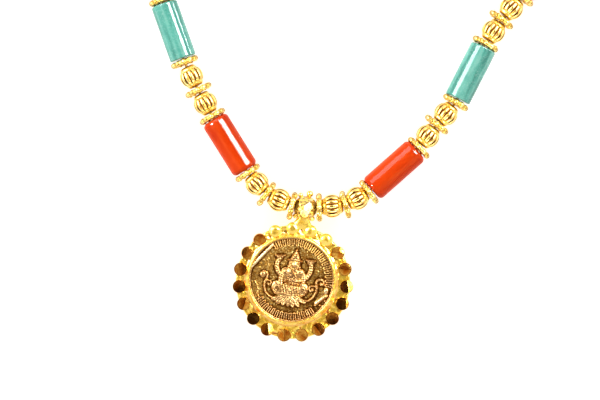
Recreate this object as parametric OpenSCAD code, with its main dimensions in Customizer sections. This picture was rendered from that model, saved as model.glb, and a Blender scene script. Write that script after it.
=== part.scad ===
// Mangalsutra laid flat: a closed string of coral and turquoise tube beads,
// fluted gold beads and granule discs, with a coin pendant in a ring of flat-cut studs.
// Units are millimetres. The string lies in the XY plane and rests on Z = 0.

/* [String] */
// Repeats of two fluted beads and one tube bead on each side of the bail
groups = 8; // [7:1:9]
// Thickness of the thread
thread_d = 0.7; // [0.5:0.1:0.9]
// Diameter of the hole through every bead
bore_d = 1.2; // [1.1:0.1:1.4]
// Direction of the link that runs through the bail, in degrees
bail_heading = -3; // [-6:1:0]
// Direction of the clasp, in degrees
clasp_heading = -10; // [-15:1:-5]

/* [Tube beads] */
// Length of a coral tube
coral_len = 13.3; // [12.8:0.1:13.4]
// Diameter of a coral tube
coral_d = 6.2; // [5.6:0.1:6.3]
// Rounding of the ends of a coral tube
coral_round = 1; // [0.8:0.1:1.2]
// Length of a turquoise tube
turquoise_len = 12.8; // [12.4:0.1:12.9]
// Diameter of a turquoise tube
turquoise_d = 6; // [5.4:0.1:6.2]
// Rounding of the ends of a turquoise tube
turquoise_round = 0.35; // [0.2:0.05:0.5]

/* [Fluted beads] */
// Diameter of a fluted bead over its ribs
fluted_d = 5.3; // [5:0.1:5.6]
// Length of a fluted bead over its two collars
fluted_len = 4.9; // [4.7:0.1:4.9]
// Diameter of a collar where it meets the ribs
collar_d = 3.9; // [3.6:0.1:4]
// Diameter of a collar at its end
collar_end_d = 2.8; // [2.6:0.1:2.8]
// Length of one collar
collar_len = 0.65; // [0.5:0.05:0.7]
// Number of ribs round a bead
ribs = 14; // [10:1:14]
// Width of the rib between two flutes
rib_w = 0.76; // [0.6:0.02:0.8]
// Depth of a flute
flute_depth = 0.28; // [0.2:0.02:0.34]

/* [Granule discs] */
// Diameter of a disc over its granules
disc_d = 6.44; // [6.2:0.02:6.8]
// Diameter of one granule
granule_d = 1.36; // [1.2:0.02:1.36]
// Granules round a disc
granules = 12; // [8:4:12]
// Thickness of the flat core between the granules
core_t = 0.35; // [0.3:0.05:0.4]

/* [Bail] */
// Diameter of the cut ball that carries the pendant
ball_d = 5.4; // [5:0.1:5.5]
// Depth to which each flat is cut into the ball
flat_depth = 0.2; // [0.1:0.02:0.24]
// Distance between the discs beside the ball
bail_link = 6.1; // [6:0.1:6.6]
// Thickness of the neck below the ball
neck_d = 2.8; // [2:0.1:3]

/* [Pendant] */
// Direction in which the pendant points from the ball, in degrees
pendant_heading = -99.5; // [-104:0.5:-96]
// Distance from the middle of the ball to the middle of the coin
drop = 17.3; // [17:0.1:18]
// Diameter of the plate that carries the studs
plate_d = 25.8; // [25.4:0.1:26]
// Thickness of the plate
plate_t = 1.2; // [1.1:0.1:1.4]
// Number of studs round the coin
studs = 19; // [15:2:19]
// Diameter of the ring through the middles of the studs
stud_ring_d = 24.3; // [24.1:0.1:24.5]
// Diameter of a stud
stud_d = 3; // [2.8:0.1:3]
// Height of a stud's flat above its widest place
stud_flat_z = 0.55; // [0.4:0.05:0.8]
// Width of the wall of the coin's bezel
bezel_w = 0.4; // [0.3:0.05:0.5]
// Height of the bezel above the back of the plate
bezel_h = 1.95; // [1.9:0.05:2.1]

/* [Coin] */
// Diameter of the coin
coin_d = 19.5; // [19.3:0.1:19.7]
// Thickness of the coin below its field
coin_t = 0.8; // [0.7:0.05:0.85]
// Height of the coin's rim above its field
rim_h = 0.2; // [0.1:0.05:0.25]
// Height of the flat parts of the figure
relief_low = 0.3; // [0.2:0.05:0.35]
// Height of the upper parts of the figure
relief_high = 0.45; // [0.4:0.05:0.55]
// Arches round the border of the coin
arches = 52; // [40:1:52]

/* [Clasp] */
// Length of the stretch of string that the clasp takes up
clasp_link = 16; // [15:0.5:18]
// Diameter of the barrel
clasp_d = 4.2; // [3.6:0.1:4.8]

/* [Hidden] */
$fn = 48;
HEADING = 0;
EXTRA = 1;
// Direction in degrees and extra length of each link in view, from the bail outwards
LEFT_ROWS = [
    [155, 0.35], [131.5, 0.35], [122, -0.2], [118, 0.65], [116.5, 0.85], [109.5, 0]];
RIGHT_ROWS = [
    [6, -0.05], [28.5, 0.05], [41.5, -0.2], [52.5, 0.5],
    [49, 0.4], [63, -0.05], [56.5, 0.35], [48.5, 0.85]];
// Lean to each side, turn about the string and lift of the flats on the ball, in degrees
BALL_FLATS = [
    [52, 24], [-38, 38], [-150, 20], [158, 32], [100, 58], [-90, 8], [10, 74], [-95, 60]];
// Place and diameter of the granules soldered round the ball, seen from above
BALL_GRANULES = [[0.5, 3.0, 1.5], [-1.5, 2.4, 1.1], [1.9, -2.4, 1.2], [-1.9, -2.4, 1.2]];

links = 3 * groups;
string_z = disc_d / 2;
fluted_link = 6;
tube_link = 15.2;
clasp_room = 1.25;
clasp_len = clasp_link - 2 * clasp_room;
clasp_neck_d = 3;
granule_ring_d = disc_d - granule_d;
seat_gap = 0.1;
seat_floor = 0.3;
coin_z = 0.35;
field_z = coin_z + coin_t;
lip_w = 0.3;
lip_t = 0.45;
sink = 0.1;
eps = 0.01;
// Height of the ball's middle above the middle of the plate
ball_lift = 0.3;
// Distance from the bore's middle to the ball's middle, towards the pendant
ball_sag = 0.25;
// Where the coin and its bezel sit on the plate: the real ones are soldered off its middle
coin_at = [-0.4, 0.55];

// The string: points where its discs sit

function along(heading) = [cos(heading), sin(heading)];
function unit(v) = v / norm(v);
function link_base(i) = i % 3 == 2 ? tube_link : fluted_link;
function link_extra(i, rows) = i < len(rows) ? rows[i][EXTRA] : 0;
function link_length(i, rows) = link_base(i) + link_extra(i, rows);
function middle_of_link(i) =
    floor(i / 3) * (2 * fluted_link + tube_link) + (i % 3) * fluted_link + link_base(i) / 2;
// Beyond the rows in view the string turns ever more evenly into the direction of the clasp
function turned(i, rows, ease) =
    let (last = len(rows) - 1,
         reach = middle_of_link(links) - fluted_link / 2 + clasp_link / 2,
         t = (middle_of_link(i) - middle_of_link(last)) / (reach - middle_of_link(last)))
    (1 - ease) * t + ease * t * t;
function link_heading(i, rows, end, ease) =
    let (last = len(rows) - 1)
    i <= last ? rows[i][HEADING]
    : rows[last][HEADING] + (end - rows[last][HEADING]) * turned(i, rows, ease);
function side_points(start, rows, end, ease) = [
    for (i = 0, p = start; i <= links;
         p = p + link_length(i, rows) * along(link_heading(i, rows, end, ease)), i = i + 1) p];
function left_points(ease) =
    side_points(-bail_link / 2 * along(bail_heading), LEFT_ROWS, clasp_heading, ease);
function right_points(ease) =
    side_points(bail_link / 2 * along(bail_heading), RIGHT_ROWS, 180 + clasp_heading, ease);
// How far the two ends miss the clasp, and the pair of eases that makes this nothing
function miss(e) =
    right_points(e[1])[links] - left_points(e[0])[links] - clasp_link * along(clasp_heading);
function closed(e, tries) =
    tries == 0 ? e
    : let (d = 0.001, m = miss(e), u = (miss(e + [d, 0]) - m) / d, v = (miss(e + [0, d]) - m) / d,
           det = u[0] * v[1] - u[1] * v[0])
      closed(e - [m[0] * v[1] - m[1] * v[0], u[0] * m[1] - u[1] * m[0]] / det, tries - 1);
EASE = closed([0.5, 0.5], 8);
LEFT = left_points(EASE[0]);
RIGHT = right_points(EASE[1]);
LOOP = concat([for (i = [links:-1:0]) LEFT[i]], RIGHT);
COUNT = len(LOOP);
function heading_between(a, b) = atan2(b[1] - a[1], b[0] - a[0]);

// The pendant tips about the ball until its far edge touches the surface
pendant_reach = drop + stud_ring_d / 2 + stud_d / 2;
ball_rise = plate_t / 2 + ball_lift;
tip = asin(string_z / norm([pendant_reach, ball_rise])) - atan(ball_rise / pendant_reach);
low_point = pendant_reach * along(pendant_heading);
xs = [for (p = LOOP) p[0]];
ys = [for (p = LOOP) p[1]];
centre = [(min(xs) + max(xs)) / 2, (low_point[1] + max(ys) + disc_d / 2) / 2];

// Beads that the photograph shows are nodes of their own
LEFT_SHOWN = 7;
RIGHT_SHOWN = 9;
function is_tube(i) = i % 3 == 2;
function fluted_up_to(n) = [for (i = [0:n - 2]) if (!is_tube(i)) i];
function tube_kind(i) = floor(i / 3) % 2 == 0 ? "coral" : "turquoise";
function tube_name(side, i) = str(side, "_", tube_kind(i), "_tube_", floor(i / 6) + 1);
function bead_names(side, n) = [for (k = [1:len(fluted_up_to(n))]) str(side, "_fluted_bead_", k)];
function disc_names(side, n) = [for (k = [1:n]) str(side, "_granule_disc_", k)];
TUBES = [for (i = [2:3:links - 1]) i];

// Beads, each with its hole along X

module bore(length) {
    rotate([0, 90, 0]) cylinder(h = length + 1, d = bore_d, center = true);
}

module round_ended_profile(length, d, r) {
    steps = 4;
    polygon(concat(
        [[0, -length / 2]],
        [for (k = [0:steps]) let (a = -90 + 90 * k / steps)
            [d / 2 - r + r * cos(a), -length / 2 + r + r * sin(a)]],
        [for (k = [0:steps]) let (a = 90 * k / steps)
            [d / 2 - r + r * cos(a), length / 2 - r + r * sin(a)]],
        [[0, length / 2]]));
}

module tube_bead(length, d, end_round) {
    difference() {
        rotate([0, 90, 0]) rotate_extrude() round_ended_profile(length, d, end_round);
        bore(length);
    }
}

// Outline of the ribs across the bead: straight ribs that meet at their feet
module rib_outline() {
    step = 360 / ribs;
    foot = rib_w / 2 / sin(step / 2);
    polygon([for (k = [0:ribs - 1]) let (a = k * step)
        each [fluted_d * along(a) - rib_w / 2 * along(a + 90),
              fluted_d * along(a) + rib_w / 2 * along(a + 90),
              foot * along(a + step / 2)]]);
}

module ribbed_body(length) {
    rotate([0, 90, 0]) intersection() {
        union() {
            sphere(d = fluted_d - 2 * flute_depth);
            intersection() {
                translate([0, 0, -length / 2]) linear_extrude(height = length) rib_outline();
                sphere(d = fluted_d);
            }
        }
        cube([fluted_d + 1, fluted_d + 1, length], center = true);
    }
}

module collar(from) {
    overlap = 0.25;
    translate([from - overlap, 0, 0]) rotate([0, 90, 0])
        cylinder(h = collar_len + overlap, d1 = collar_d, d2 = collar_end_d);
}

module fluted_bead() {
    ribbed_len = fluted_len - 2 * collar_len;
    color("gold") difference() {
        union() {
            ribbed_body(ribbed_len);
            for (side = [0, 1]) mirror([side, 0, 0]) collar(ribbed_len / 2);
        }
        bore(fluted_len);
    }
}

module granule_disc() {
    color("gold") difference() {
        union() {
            rotate([0, 90, 0]) cylinder(h = core_t, d = granule_ring_d, center = true, $fn = granules);
            for (k = [0:granules - 1])
                rotate([k * 360 / granules, 0, 0])
                    translate([0, 0, -granule_ring_d / 2]) sphere(d = granule_d);
        }
        bore(core_t);
    }
}

// Places on the string

module on_table() {
    translate([-centre[0], -centre[1], string_z]) children();
}

module at_link(points, i) {
    a = points[i];
    b = points[i + 1];
    on_table() translate(concat((a + b) / 2, 0)) rotate([0, 0, heading_between(a, b)]) children();
}

// A disc lies nearly flat against the tube beside it and is pushed up to a turquoise one
module disc_on(points, i) {
    facing = 0.7;
    push = 0.2;
    here = points[i];
    inwards = unit(i > 0 ? here - points[i - 1] : here);
    outwards = unit((i < links ? points[i + 1] : (LEFT[links] + RIGHT[links]) / 2) - here);
    tube_side = i % 3 == 2 ? 1 : i % 3 == 0 && i > 0 ? -1 : 0;
    weight = 0.5 + tube_side * (facing - 0.5);
    way = unit(weight * outwards + (1 - weight) * inwards);
    beside_turquoise = tube_side != 0 && tube_kind(i - (tube_side < 0 ? 1 : 0)) == "turquoise";
    place = here + (beside_turquoise ? tube_side * push : 0) * way;
    on_table() translate(concat(place, 0)) rotate([0, 0, atan2(way[1], way[0])]) granule_disc();
}

module left_disc(i) disc_on(LEFT, i);

module right_disc(i) disc_on(RIGHT, i);

module tube_on(points, i) {
    if (tube_kind(i) == "coral")
        color("orangered") at_link(points, i) tube_bead(coral_len, coral_d, coral_round);
    else
        color("mediumaquamarine")
            at_link(points, i) tube_bead(turquoise_len, turquoise_d, turquoise_round);
}

module back_fluted_beads() {
    for (i = [LEFT_SHOWN - 1:links - 1]) if (!is_tube(i)) at_link(LEFT, i) fluted_bead();
    for (i = [RIGHT_SHOWN - 1:links - 1]) if (!is_tube(i)) at_link(RIGHT, i) fluted_bead();
}

module back_granule_discs() {
    for (i = [LEFT_SHOWN:links]) left_disc(i);
    for (i = [RIGHT_SHOWN:links]) right_disc(i);
}

module clasp() {
    neck_len = 1.8;
    slope = 0.8;
    color("gold") on_table()
        translate(concat((LEFT[links] + RIGHT[links]) / 2, 0))
            rotate([0, 0, heading_between(LEFT[links], RIGHT[links])])
                difference() {
                    rotate([0, 90, 0]) rotate_extrude() polygon([
                        [0, -clasp_len / 2], [clasp_neck_d / 2, -clasp_len / 2],
                        [clasp_neck_d / 2, -clasp_len / 2 + neck_len],
                        [clasp_d / 2, -clasp_len / 2 + neck_len + slope],
                        [clasp_d / 2, clasp_len / 2 - neck_len - slope],
                        [clasp_neck_d / 2, clasp_len / 2 - neck_len],
                        [clasp_neck_d / 2, clasp_len / 2], [0, clasp_len / 2]]);
                    bore(clasp_len);
                }
}

// One closed tube swept through the middles of all the discs
module thread() {
    sides = 8;
    rings = [for (k = [0:COUNT - 1])
        let (before = LOOP[(k + COUNT - 1) % COUNT], after = LOOP[(k + 1) % COUNT], here = LOOP[k],
             way = (here - before) / norm(here - before) + (after - here) / norm(after - here),
             across = [-way[1], way[0]] / norm(way))
        [for (s = [0:sides - 1]) let (a = 360 * s / sides)
            concat(here + thread_d / 2 * cos(a) * across, thread_d / 2 * sin(a))]];
    color("tan") on_table() polyhedron(
        points = [for (ring = rings) for (p = ring) p],
        faces = [for (k = [0:COUNT - 1]) for (s = [0:sides - 1])
            let (n = (k + 1) % COUNT, t = (s + 1) % sides)
            [k * sides + s, k * sides + t, n * sides + t, n * sides + s]]);
}

// The pendant: its own frame has the coin's middle at the origin, the ball along +Y
// and the back of the plate at Z = 0

module on_pendant() {
    on_table()
        rotate([0, 0, pendant_heading + 90]) rotate([tip, 0, 0])
            translate([0, -drop, -ball_rise]) children();
}

module ring(outer, inner, height) {
    difference() {
        cylinder(h = height, d = outer);
        translate([0, 0, -1]) cylinder(h = height + 2, d = inner);
    }
}

module stud() {
    intersection() {
        translate([0, 0, plate_t]) sphere(d = stud_d);
        translate([0, 0, (plate_t + stud_flat_z) / 2])
            cube([stud_d + 1, stud_d + 1, plate_t + stud_flat_z], center = true);
    }
}

module at_studs() {
    for (k = [0:studs - 1])
        rotate([0, 0, (k + 0.5) * 360 / studs]) translate([0, stud_ring_d / 2, 0]) children();
}

module frame_plate() {
    seat_d = coin_d + 2 * seat_gap;
    difference() {
        union() {
            cylinder(h = plate_t, d = plate_d);
            translate(coin_at) cylinder(h = bezel_h, d = seat_d + 2 * bezel_w);
        }
        translate(coin_at) {
            translate([0, 0, seat_floor]) cylinder(h = bezel_h - lip_t - seat_floor, d = seat_d);
            translate([0, 0, -1]) cylinder(h = bezel_h + 2, d = seat_d - 2 * lip_w - seat_gap);
        }
    }
}

module cut_ball() {
    difference() {
        sphere(d = ball_d);
        for (f = BALL_FLATS)
            rotate([0, -f[1], f[0]])
                translate([ball_d / 2 - flat_depth, -ball_d / 2, -ball_d / 2]) cube(ball_d);
    }
}

// The neck spreads into a flat foot where it is soldered to the plate
module foot() {
    foot_t = 1.7;
    // Distance from the plate's edge and half width of the foot
    outline = [[-0.7, 3], [0.3, 2.3], [1.3, 1.6]];
    linear_extrude(height = foot_t) polygon([
        for (side = [-1, 1], p = side < 0 ? outline : [outline[2], outline[1], outline[0]])
            [side * p[1], plate_d / 2 + p[0]]]);
}

module neck() {
    into_plate = 0.4;
    into_ball = 0.6;
    translate([0, plate_d / 2 - into_plate, ball_rise]) rotate([-90, 0, 0])
        cylinder(h = drop - ball_sag - ball_d / 2 - plate_d / 2 + into_plate + into_ball, d = neck_d);
}

module pendant_frame() {
    color("gold") difference() {
        union() {
            on_pendant() union() {
                frame_plate();
                at_studs() stud();
                foot();
                neck();
            }
            on_table() translate(ball_sag * along(pendant_heading)) cut_ball();
            for (g = BALL_GRANULES)
                on_table() rotate([0, 0, pendant_heading + 90])
                    translate([g[0], g[1], 0]) sphere(d = g[2]);
        }
        on_table() rotate([0, 0, bail_heading]) bore(ball_d);
    }
}

// Coin relief, in the pendant's frame: X to the right and Y up the figure

module stroke(points, w) {
    joint_d = w * 1.04;
    for (k = [0:len(points) - 2]) {
        a = points[k];
        b = points[k + 1];
        translate(a) rotate(heading_between(a, b))
            translate([0, -w / 2]) square([norm(b - a), w]);
    }
    for (p = points) translate(p) circle(d = joint_d);
}

module petal(length, w) {
    steps = 6;
    polygon(concat(
        [for (k = [0:steps]) let (t = k / steps) [t * length, w / 2 * sqrt(sin(180 * t))]],
        [for (k = [steps - 1:-1:1]) let (t = k / steps) [t * length, -w / 2 * sqrt(sin(180 * t))]]));
}

// Points of an arc round c from one direction to another
function arc(c, r, from, to) =
    let (steps = ceil(abs(to - from) / 30))
    [for (k = [0:steps]) c + r * along(from + (to - from) * k / steps)];

module scroll(stem, ball, upper, lower) {
    stem_w = 0.45;
    curl_w = 0.36;
    stroke(stem, stem_w);
    if (len(ball) > 0) translate(ball) circle(d = 1.6);
    if (len(upper) > 0) stroke(upper, curl_w);
    stroke(lower, curl_w);
}

module scrolls() {
    scroll([[-6.2, -0.8], [-6, -1.8], [-5.9, -3.1], [-5.4, -4.2], [-4.5, -4.8], [-3.4, -5.1]],
        [-6.5, 0], [], arc([-5.2, -1.6], 0.7, 170, -80));
    scroll([[3.4, -4.9], [4.6, -4.6], [5.5, -3.8], [5.9, -2.6], [5.7, -1.2], [5.6, 0]],
        [], arc([6.35, 0.1], 0.75, 185, -70), arc([4.75, -1.5], 0.95, 10, 230));
}

module figure_low() {
    // Direction and length of each petal of the lotus seat
    seat = [[-171, 3.8], [-148, 3.6], [-118, 2.9], [-90, 2.5], [-62, 2.9], [-32, 3.6], [-9, 3.8]];
    seat_w = 1.5;
    bud_len = 1.5;
    bud_w = 0.9;
    for (p = seat) translate([0, -3.8]) rotate(p[0]) petal(p[1], seat_w);
    for (x = [-3.6, 3.4]) translate([x, 3.9])
        for (a = [50, 90, 130]) rotate(a) petal(bud_len, bud_w);
    translate([-2.7, -2.4]) circle(d = 2.9);
    translate([2.5, -2.2]) circle(d = 2.9);
    stroke([[-2.7, -3], [2.4, -3.1]], 1.9);
    stroke([[-2.2, 1.2], [-3.3, 1.7], [-3.9, 2.8], [-3.7, 4]], 0.85);
    stroke([[2.2, 1], [3.1, 1.5], [3.6, 2.8], [3.5, 4]], 0.85);
}

module figure_high() {
    shoulder = 1.7;
    waist = 1.3;
    polygon([[-shoulder, 2], [shoulder, 1.9], [waist, -0.8], [-waist, -0.8]]);
    stroke([[-2.1, 1.4], [-2.6, -0.2], [-2.1, -1.6]], 0.75);
    stroke([[2.1, 1.3], [2.6, -0.4], [2.1, -1.7]], 0.75);
    translate([0.1, 3.5]) circle(d = 2.2);
    translate([0.1, 2.3]) square([0.8, 1], center = true);
    polygon([[-1.4, 4.2], [1.4, 4.3], [0.8, 5.4], [0, 6.5], [-0.8, 5.3]]);
}

module border() {
    pitch = 360 / arches;
    outer = 9.1;
    arch_len = 1.35;
    arch_w = 0.72;
    stroke_w = 0.22;
    for (k = [0:arches - 1]) let (a = k * pitch)
        if (!(a > 128 && a < 216) && !(a > 318 && a < 358))
            rotate(a) translate([outer - arch_len, -arch_w / 2]) {
                square([stroke_w, arch_w]);
                square([arch_len, stroke_w]);
                translate([0, arch_w - stroke_w]) square([arch_len, stroke_w]);
            }
    stroke([[-9.1, 1.7], [-5.9, 6.9]], 0.5);
    stroke([[5.9, -5.2], [7.6, -3.7]], 0.6);
}

module domes() {
    // Place, diameter and height above the field of each rounded part
    for (d = [[-1.3, 1.5, 2, 0.7], [1.4, 1.4, 2, 0.7], [0.1, 3.4, 1.5, 0.75],
              [-2.8, -2.3, 2.2, 0.55], [2.6, -2.1, 2.2, 0.55], [-6.5, 0, 1.2, 0.45]]) {
        r = (d[2] * d[2] / 4 + d[3] * d[3]) / (2 * d[3]);
        translate([d[0], d[1], field_z + d[3] - r]) intersection() {
            sphere(r = r);
            translate([-r, -r, r - d[3] - sink]) cube([2 * r, 2 * r, d[3] + sink + eps]);
        }
    }
}

module raised(height) {
    translate([0, 0, field_z - sink]) linear_extrude(height = height + sink) children();
}

module coin() {
    rim_w = 0.35;
    color("darkgoldenrod") on_pendant() translate(coin_at) union() {
        translate([0, 0, coin_z]) cylinder(h = coin_t, d = coin_d);
        translate([0, 0, field_z - sink]) ring(coin_d, coin_d - 2 * rim_w, rim_h + sink);
        raised(rim_h) border();
        raised(relief_low) scrolls();
        raised(relief_low) figure_low();
        raised(relief_high) figure_high();
        domes();
    }
}

pendant_frame();
coin();
thread();
clasp();
back_fluted_beads();
back_granule_discs();
for (i = TUBES) {
    tube_on(LEFT, i);
    tube_on(RIGHT, i);
}
for (k = [1:len(fluted_up_to(LEFT_SHOWN))])
    at_link(LEFT, fluted_up_to(LEFT_SHOWN)[k - 1]) fluted_bead();
for (k = [1:len(fluted_up_to(RIGHT_SHOWN))])
    at_link(RIGHT, fluted_up_to(RIGHT_SHOWN)[k - 1]) fluted_bead();
for (k = [1:LEFT_SHOWN])
    left_disc(k - 1);
for (k = [1:RIGHT_SHOWN])
    right_disc(k - 1);
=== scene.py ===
import math

import bpy
import bmesh
import numpy as np
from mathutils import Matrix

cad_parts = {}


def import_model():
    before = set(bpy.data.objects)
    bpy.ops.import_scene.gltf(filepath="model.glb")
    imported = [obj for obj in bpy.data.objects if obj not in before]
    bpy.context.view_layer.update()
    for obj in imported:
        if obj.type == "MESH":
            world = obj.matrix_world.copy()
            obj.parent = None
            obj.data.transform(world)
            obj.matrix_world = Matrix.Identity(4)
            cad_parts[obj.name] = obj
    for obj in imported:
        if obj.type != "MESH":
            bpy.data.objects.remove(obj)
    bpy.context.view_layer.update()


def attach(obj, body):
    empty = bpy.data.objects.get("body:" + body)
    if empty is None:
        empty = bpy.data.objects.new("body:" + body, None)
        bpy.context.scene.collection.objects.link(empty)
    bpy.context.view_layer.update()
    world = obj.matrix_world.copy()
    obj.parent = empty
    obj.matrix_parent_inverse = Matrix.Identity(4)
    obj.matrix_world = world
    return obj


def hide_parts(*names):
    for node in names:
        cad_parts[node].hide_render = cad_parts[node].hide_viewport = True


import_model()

# Lengths are millimetres until a mesh is made; the shared frame is in metres
MM = 0.001
RNG = np.random.default_rng(11)
NOISE_CELLS, NOISE_START = 64, 1000


# Small maths

def along(degrees):
    return np.array([math.cos(math.radians(degrees)), math.sin(math.radians(degrees))])


def heading(way):
    return math.degrees(math.atan2(way[1], way[0]))


def unit(ways):
    return ways / np.linalg.norm(ways, axis=-1, keepdims=True)


def leaning(lean, toward):
    """The direction that leans from straight up by a number of degrees toward a heading."""
    rise, flat = along(lean)
    return np.array([*(flat * along(toward)), rise])


def rot(axis, degrees):
    """The matrix of a turn about X or Z."""
    c, s = along(degrees)
    if axis == "X":
        return np.array([[1, 0, 0], [0, c, -s], [0, s, c]])
    return np.array([[c, -s, 0], [s, c, 0], [0, 0, 1]])


def circle(count):
    """Evenly spaced angles round a circle, in radians."""
    return 2 * np.pi * np.arange(count) / count


def arc_points(centre, radius, start, end, steps=14):
    return [tuple(centre + radius * along(turn)) for turn in np.linspace(start, end, steps + 1)]


def smoothstep(low, high, x):
    t = np.clip((x - low) / (high - low), 0, 1)
    return t * t * (3 - 2 * t)


def noise(x, y, cell, seed):
    """Smooth noise from 0 to 1 on the plane, the same each run."""
    table = np.random.default_rng(seed).random((NOISE_CELLS, NOISE_CELLS))
    gx, gy = x / cell + NOISE_START, y / cell + NOISE_START
    column, row = np.floor(gx).astype(int), np.floor(gy).astype(int)
    fx, fy = smoothstep(0, 1, gx - column), smoothstep(0, 1, gy - row)
    a, b, c, d = (table[(column + i) % NOISE_CELLS, (row + j) % NOISE_CELLS]
                  for j in (0, 1) for i in (0, 1))
    return (a * (1 - fx) + b * fx) * (1 - fy) + (c * (1 - fx) + d * fx) * fy


# The string, as in the solids

GROUPS = 8
LINKS = 3 * GROUPS
THREAD_D, BORE_D = 0.7, 1.2
BAIL_HEADING, CLASP_HEADING = -3, -10
CORAL_LEN, CORAL_D, CORAL_ROUND = 13.3, 6.2, 1
TURQUOISE_LEN, TURQUOISE_D, TURQUOISE_ROUND = 12.8, 6, 0.35
FLUTED_D, FLUTED_LEN, COLLAR_LEN, COLLAR_D, COLLAR_END_D = 5.3, 4.9, 0.65, 3.9, 2.8
RIBS, FLUTE_DEPTH = 14, 0.28
DISC_D, GRANULE_D, GRANULES, CORE_T = 6.44, 1.36, 12, 0.35
DISC_FACING, DISC_PUSH = 0.7, 0.2
BALL_D, FLAT_DEPTH, BAIL_LINK, NECK_D = 5.4, 0.2, 6.1, 2.8
BALL_SAG, BALL_LIFT, COIN_AT = 0.25, 0.3, np.array([-0.4, 0.55, 0])
PENDANT_HEADING, DROP = -99.5, 17.3
PLATE_D, PLATE_T, STUDS, STUD_RING_D, STUD_D, STUD_FLAT = 25.8, 1.2, 19, 24.3, 3, 0.55
BEZEL_W, BEZEL_H, SEAT_GAP, SEAT_FLOOR, LIP_W, LIP_T = 0.4, 1.95, 0.1, 0.3, 0.3, 0.45
COIN_D, COIN_T, COIN_Z, RIM_H, ARCHES = 19.5, 0.8, 0.35, 0.2, 52
CLASP_LINK, CLASP_ROOM, CLASP_D, CLASP_NECK_D = 16, 1.25, 4.2, 3
STRING_Z = DISC_D / 2
FLUTED_LINK, TUBE_LINK = 6, 15.2
# Links in view, from the ball outwards: heading and extra length
LEFT_ROWS = [(155, 0.35), (131.5, 0.35), (122, -0.2), (118, 0.65), (116.5, 0.85), (109.5, 0)]
RIGHT_ROWS = [(6, -0.05), (28.5, 0.05), (41.5, -0.2), (52.5, 0.5),
              (49, 0.4), (63, -0.05), (56.5, 0.35), (48.5, 0.85)]
# The ball's flats as heading and lift, and its granules as x, y and diameter
BALL_FLATS = [(52, 24), (-38, 38), (-150, 20), (158, 32), (100, 58), (-90, 8), (10, 74), (-95, 60)]
BALL_GRANULES = [(0.5, 3, 1.5), (-1.5, 2.4, 1.1), (1.9, -2.4, 1.2), (-1.9, -2.4, 1.2)]
LEFT_SHOWN, RIGHT_SHOWN = 7, 9
LINK_LENGTHS = np.array([FLUTED_LINK, FLUTED_LINK, TUBE_LINK] * GROUPS)
LINK_MIDDLES = np.cumsum(LINK_LENGTHS) - LINK_LENGTHS / 2


def is_tube(i):
    return i % 3 == 2


def tube_kind(i):
    return "coral" if (i // 3) % 2 == 0 else "turquoise"


def side_points(start, rows, end, ease):
    """Points between the links of one side: past its rows, the string bends to the end's heading."""
    last = len(rows) - 1
    run = LINK_MIDDLES - LINK_MIDDLES[last]
    t = run / (LINK_LENGTHS.sum() + CLASP_LINK / 2 - LINK_MIDDLES[last])
    bend = rows[last][0] + (end - rows[last][0]) * ((1 - ease) * t + ease * t * t)
    points = [start]
    for i in range(LINKS):
        turn, extra = rows[i] if i <= last else (bend[i], 0)
        points.append(points[-1] + (LINK_LENGTHS[i] + extra) * along(turn))
    return points


def both_sides(eases):
    half = BAIL_LINK / 2 * along(BAIL_HEADING)
    return (side_points(-half, LEFT_ROWS, CLASP_HEADING, eases[0]),
            side_points(half, RIGHT_ROWS, 180 + CLASP_HEADING, eases[1]))


def miss(eases):
    """How far the two sides are from meeting at the clasp."""
    left, right = both_sides(eases)
    return right[LINKS] - left[LINKS] - CLASP_LINK * along(CLASP_HEADING)


def closed_eases():
    """Newton's steps to the two bends that close the string."""
    eases, step = np.array([0.5, 0.5]), 0.001
    for _ in range(8):
        slopes = np.stack([miss(eases + step * way) - miss(eases) for way in np.eye(2)], 1) / step
        eases = eases - np.linalg.solve(slopes, miss(eases))
    return eases


LEFT, RIGHT = both_sides(closed_eases())
LOOP = np.array(LEFT[::-1] + RIGHT)
REACH = DROP + STUD_RING_D / 2 + STUD_D / 2
BALL_RISE = PLATE_T / 2 + BALL_LIFT
TIP = math.degrees(math.asin(STRING_Z / math.hypot(REACH, BALL_RISE)) - math.atan(BALL_RISE / REACH))
LOWEST = REACH * along(PENDANT_HEADING)[1]
CENTRE = np.array([LOOP[:, 0].min() + LOOP[:, 0].max(), LOWEST + LOOP[:, 1].max() + DISC_D / 2]) / 2


def on_table(point):
    return np.array([*(point - CENTRE), STRING_Z])


def between(a, b):
    """The place in the middle of two points, turned from one to the other."""
    return rot("Z", heading(b - a)), on_table((a + b) / 2)


def disc_at(points, i):
    """A disc lies nearly flat against the tube beside it and is pushed up to a turquoise one."""
    here = points[i]
    inwards = unit(here - points[i - 1] if i > 0 else here)
    outwards = unit((points[i + 1] if i < LINKS else (LEFT[LINKS] + RIGHT[LINKS]) / 2) - here)
    tube_side = 1 if is_tube(i) else -1 if i > 0 and is_tube(i - 1) else 0
    weight = 0.5 + tube_side * (DISC_FACING - 0.5)
    way = unit(weight * outwards + (1 - weight) * inwards)
    if tube_side and tube_kind(i - (tube_side < 0)) == "turquoise":
        here = here + tube_side * DISC_PUSH * way
    return rot("Z", heading(way)), on_table(here)


BALL = (np.eye(3), on_table((0, 0)))
BALL_TURNED = (rot("Z", PENDANT_HEADING + 90), on_table((0, 0)))
PENDANT_TURN = BALL_TURNED[0] @ rot("X", TIP)
PENDANT = (PENDANT_TURN, on_table((0, 0)) + PENDANT_TURN @ np.array([0, -DROP, -BALL_RISE]))


# Mesh building

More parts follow.
